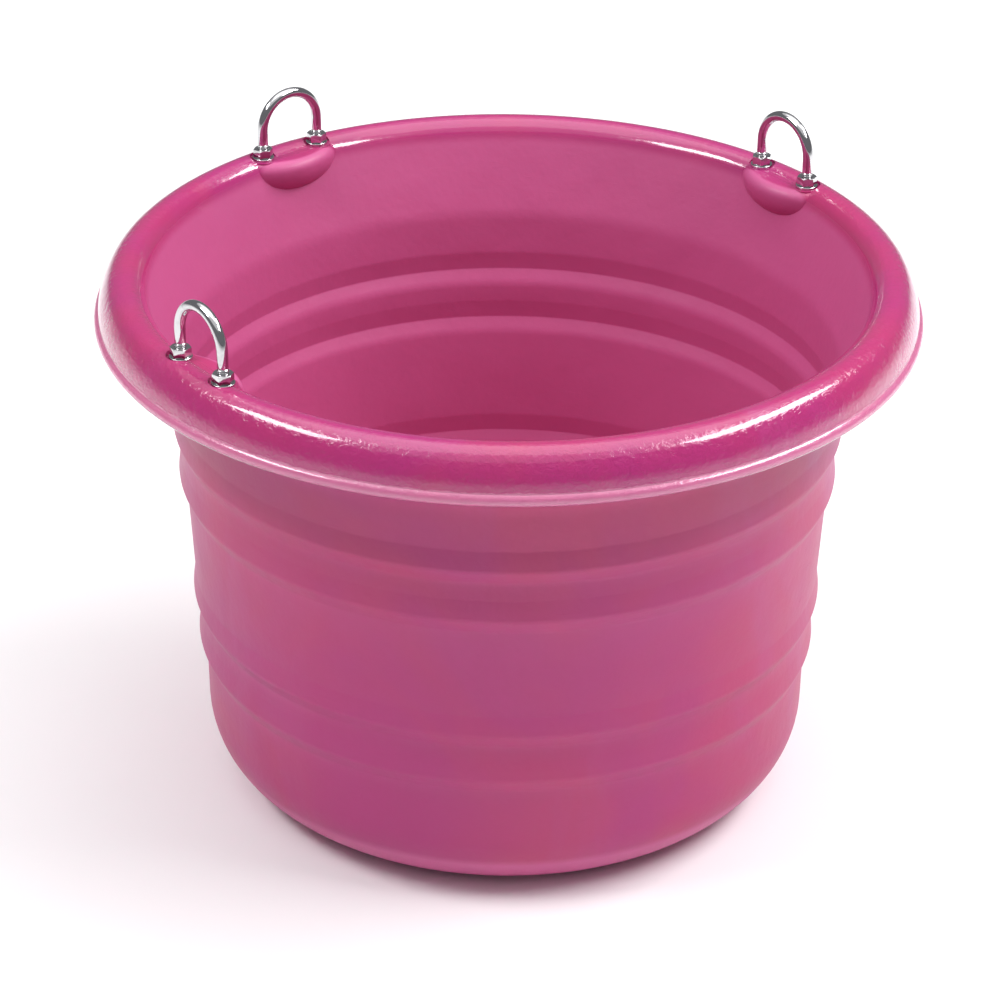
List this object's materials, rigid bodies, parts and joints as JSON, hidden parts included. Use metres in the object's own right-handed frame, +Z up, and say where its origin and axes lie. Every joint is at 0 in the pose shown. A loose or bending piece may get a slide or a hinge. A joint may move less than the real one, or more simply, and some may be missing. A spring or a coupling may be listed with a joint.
{
  "type": "feed bucket",
  "caption": "Round moulded-plastic stable feed bucket with a rolled rim, stepped ribbed side wall and upright steel hanging rings clamped through the rim.",
  "frame": {"origin": "centre of the base, on the ground", "axes": "+Z up along the tub's axis; +Y towards the middle ring; the other two rings stand at -X and +X"},
  "size_m": [0.45, 0.45, 0.3408],
  "materials": {
    "moulded_plastic": "raspberry-pink moulded polyethylene, glossy on the rim and satin inside",
    "plated_bar": "bright plated round bar",
    "plated_nut": "bright plated hexagon nuts",
    "plated_washer": "bright plated flat washers"
  },
  "bodies": {
    "root": {"tub": "moulded_plastic", "left_u_bolt": "plated_bar", "left_ring_rear_upper_washer": "plated_washer", "left_ring_rear_upper_nut": "plated_nut", "left_ring_rear_lower_washer": "plated_washer", "left_ring_rear_lock_nut": "plated_nut", "left_ring_front_upper_washer": "plated_washer", "left_ring_front_upper_nut": "plated_nut", "left_ring_front_lower_washer": "plated_washer", "left_ring_front_lock_nut": "plated_nut", "back_u_bolt": "plated_bar", "back_ring_right_upper_washer": "plated_washer", "back_ring_right_upper_nut": "plated_nut", "back_ring_right_lower_washer": "plated_washer", "back_ring_right_lock_nut": "plated_nut", "back_ring_left_upper_washer": "plated_washer", "back_ring_left_upper_nut": "plated_nut", "back_ring_left_lower_washer": "plated_washer", "back_ring_left_lock_nut": "plated_nut", "right_u_bolt": "plated_bar", "right_ring_front_upper_washer": "plated_washer", "right_ring_front_upper_nut": "plated_nut", "right_ring_front_lower_washer": "plated_washer", "right_ring_front_lock_nut": "plated_nut", "right_ring_rear_upper_washer": "plated_washer", "right_ring_rear_upper_nut": "plated_nut", "right_ring_rear_lower_washer": "plated_washer", "right_ring_rear_lock_nut": "plated_nut"}
  },
  "joints": []
}
